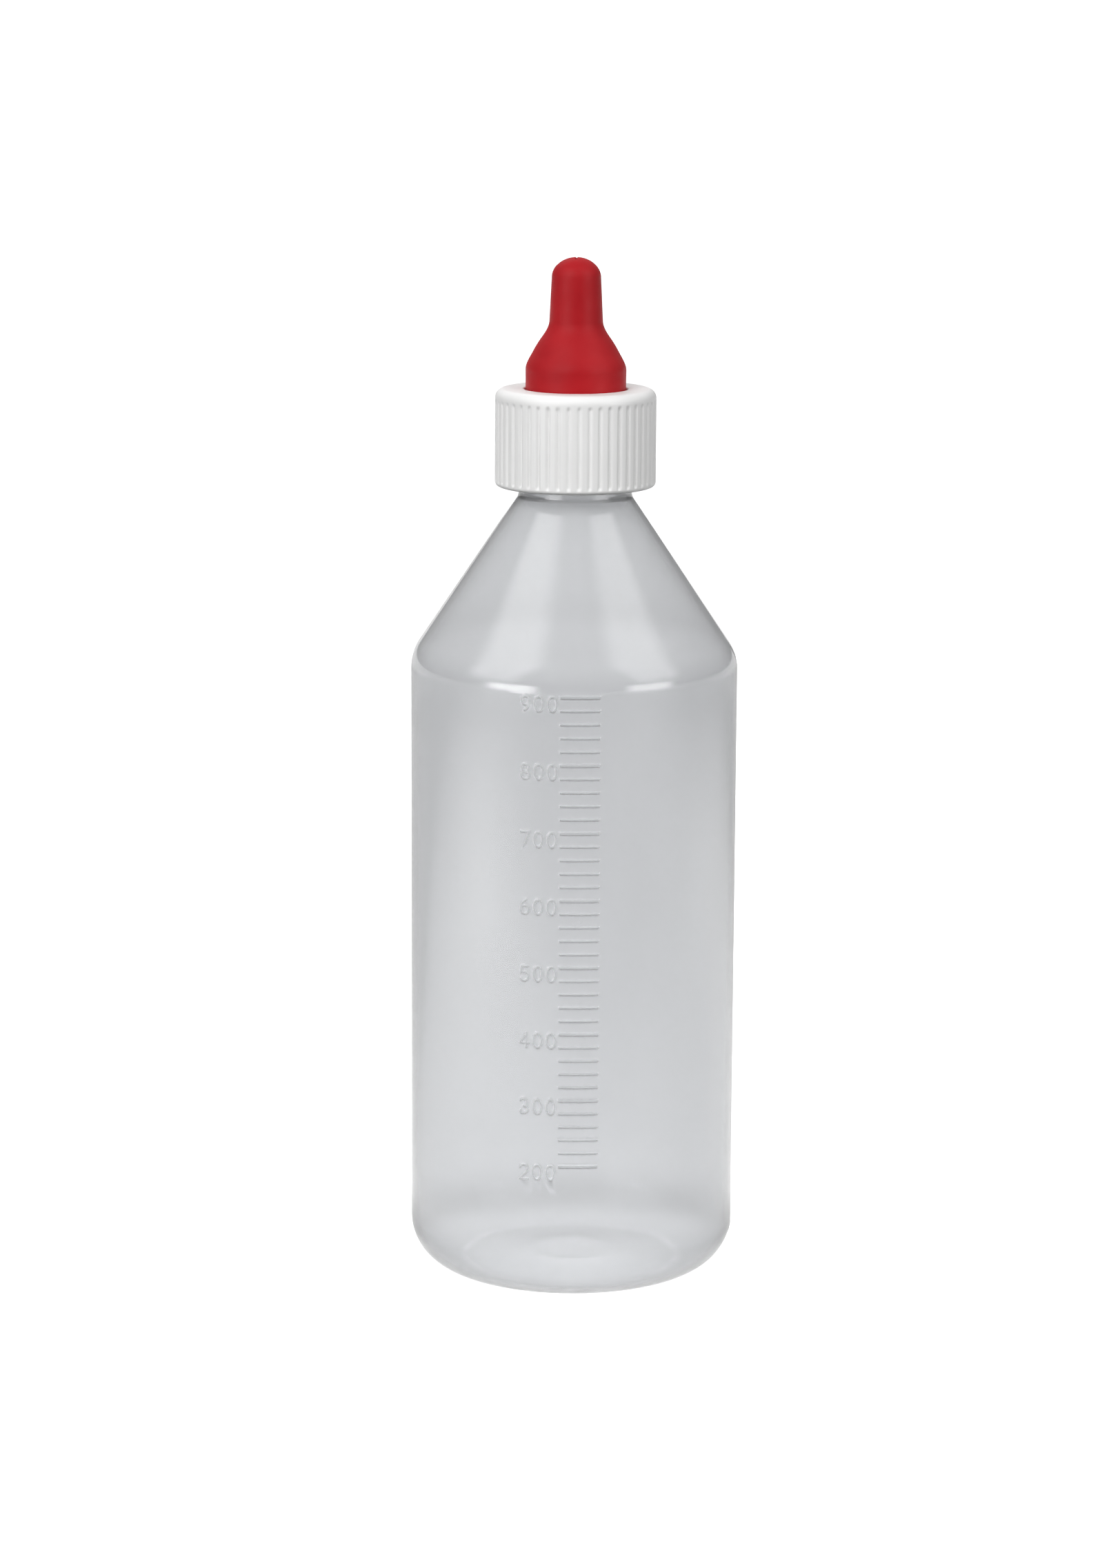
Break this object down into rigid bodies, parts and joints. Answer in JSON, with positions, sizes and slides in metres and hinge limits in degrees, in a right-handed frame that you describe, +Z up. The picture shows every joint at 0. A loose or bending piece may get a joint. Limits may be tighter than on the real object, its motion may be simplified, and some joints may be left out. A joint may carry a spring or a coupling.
{
  "type": "calf feeding bottle",
  "caption": "Hand-held milk bottle with a cone shoulder, a moulded measuring scale, and a ribbed screw ring that clamps a flanged rubber teat on the neck.",
  "frame": {"origin": "on the standing surface, on the bottle's axis", "axes": "+Z up along the bottle's axis towards the teat; the measuring scale is on the front, towards -Y, with its ticks to the +X side"},
  "size_m": [0.0866, 0.0869, 0.2718],
  "materials": {
    "bottle_plastic": "natural translucent polyethylene, satin, faintly grey",
    "ring_plastic": "white moulded polypropylene, satin",
    "teat_rubber": "red moulded rubber, soft satin sheen"
  },
  "bodies": {
    "bottle": {"bottle": "bottle_plastic"},
    "teat": {"teat": "teat_rubber"},
    "screw_ring": {"screw_ring": "ring_plastic"}
  },
  "joints": [
    {"name": "closure_lift", "type": "slide", "parent": "bottle", "child": "teat", "axis": [0, 0, 1], "range_m": [0, 0.0234]},
    {"name": "ring_turn", "type": "hinge", "parent": "teat", "child": "screw_ring", "pos_m": [0, 0, 0.2255], "axis": [0, 0, 1], "range_deg": [0, 1980]}
  ],
  "couplings": [
    {"joint": "closure_lift", "follows": "ring_turn", "m_per_rad": 0.00067322}
  ]
}
